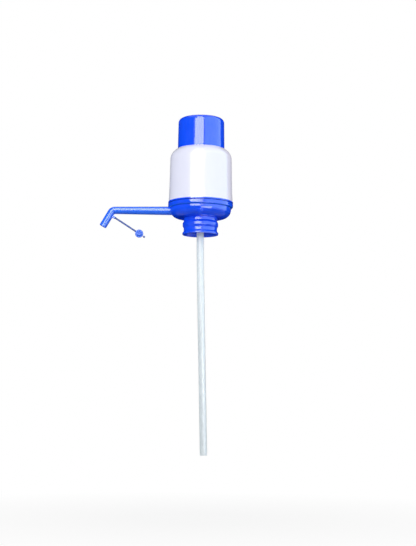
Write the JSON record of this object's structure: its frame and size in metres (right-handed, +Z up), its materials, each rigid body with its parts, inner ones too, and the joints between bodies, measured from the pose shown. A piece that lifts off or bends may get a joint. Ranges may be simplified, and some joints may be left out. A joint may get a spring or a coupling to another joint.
{
  "type": "water jug hand pump",
  "caption": "Hand press pump for a large water bottle: sprung press cap, white cover, round base with neck collar, bent spout with tethered closure, air release button and dip tube.",
  "frame": {"origin": "centre of the neck gasket's underside, where the rim of the bottle's mouth lies", "axes": "+Z up along the pump's axis, -X along the spout, -Y towards the air release button"},
  "size_m": [0.2219, 0.1082, 0.5613],
  "materials": {
    "blue_gloss": "glossy moulded",
    "white_gloss": "glossy moulded",
    "natural_plastic": "plain moulded",
    "bellows_rubber": "soft moulded",
    "silicone": "soft",
    "dark_rubber": "soft",
    "blue_collar": "flexible glossy moulded",
    "blue_soft": "flexible satin moulded",
    "tube_plastic": "translucent extruded",
    "screw_steel": "plated",
    "spring_steel": "drawn wire"
  },
  "bodies": {
    "base": {"base_body": "blue_gloss", "deck_plate": "blue_gloss", "deck_gasket": "silicone", "discharge_valve": "silicone", "bellows_clamp_ring": "natural_plastic", "clamp_screws": "screw_steel", "water_elbow": "natural_plastic", "elbow_gasket": "silicone", "neck_gasket": "silicone", "bottle_collar": "blue_collar", "dip_tube": "tube_plastic", "outer_cover": "white_gloss", "bellows": "bellows_rubber", "release_spring": "spring_steel"},
    "press": {"press_cap": "blue_gloss", "bellows_top_plate": "natural_plastic", "intake_valve": "silicone"},
    "spout": {"spout": "blue_gloss", "spout_o_rings": "dark_rubber"},
    "closure": {"spout_cap": "blue_soft"},
    "release": {"release_button": "blue_gloss", "release_seal": "silicone"}
  },
  "joints": [
    {"name": "press_stroke", "type": "slide", "parent": "base", "child": "press", "axis": [0, 0, -1], "range_m": [0, 0.042], "stiffness_N_per_m": 700, "springref_m": -0.008, "deforming": ["bellows"]},
    {"name": "spout_swivel", "type": "hinge", "parent": "base", "child": "spout", "pos_m": [0, 0, 0.0176], "axis": [-1, 0, 0], "continuous": true},
    {"name": "closure_strap", "type": "hinge", "parent": "spout", "child": "closure", "pos_m": [-0.14424, 0, 0.00619], "axis": [0, 1, 0], "range_deg": [-28, 75], "stiffness_Nm_per_rad": 0.01, "springref_deg": -1.15},
    {"name": "air_release", "type": "slide", "parent": "base", "child": "release", "axis": [0, 0.7071, 0.7071], "range_m": [0, 0.002], "stiffness_N_per_m": 300, "springref_m": -0.004, "deforming": ["release_spring"]}
  ]
}
